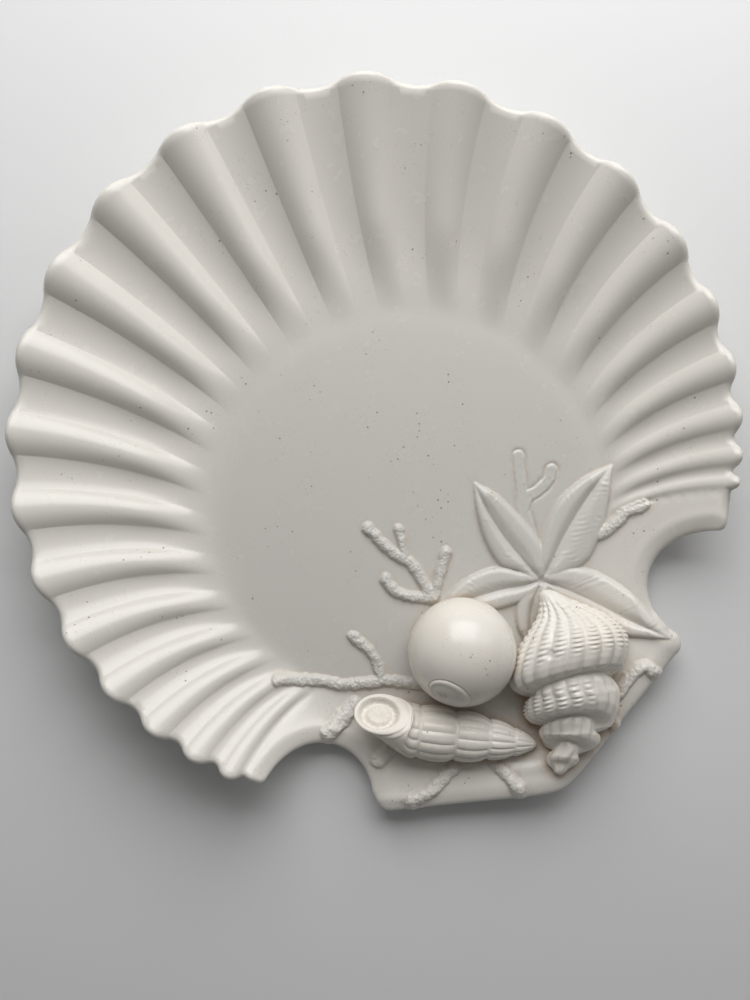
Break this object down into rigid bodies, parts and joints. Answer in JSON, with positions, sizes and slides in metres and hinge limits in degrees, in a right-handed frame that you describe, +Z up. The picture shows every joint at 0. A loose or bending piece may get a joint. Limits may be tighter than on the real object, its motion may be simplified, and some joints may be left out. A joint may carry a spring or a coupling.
{
  "type": "shell shaped platter",
  "caption": "Glazed ceramic serving platter shaped like a fluted scallop shell, with a flat well, notches beside the hinge, and shells, corals and leaves in relief",
  "frame": {"origin": "on the flat base plane, under the centre of the fan's round rim", "axes": "+Z up out of the dish, +Y towards the fan's far end, so the hinge points to -Y, +X to the right seen from above with the hinge nearest"},
  "size_m": [0.3796, 0.4024, 0.0542],
  "materials": {
    "glaze": "glossy off-white glaze over a slip-cast body, with fine dark specks and warm staining round the relief"
  },
  "bodies": {
    "root": {"shell_platter": "glaze"}
  },
  "joints": []
}
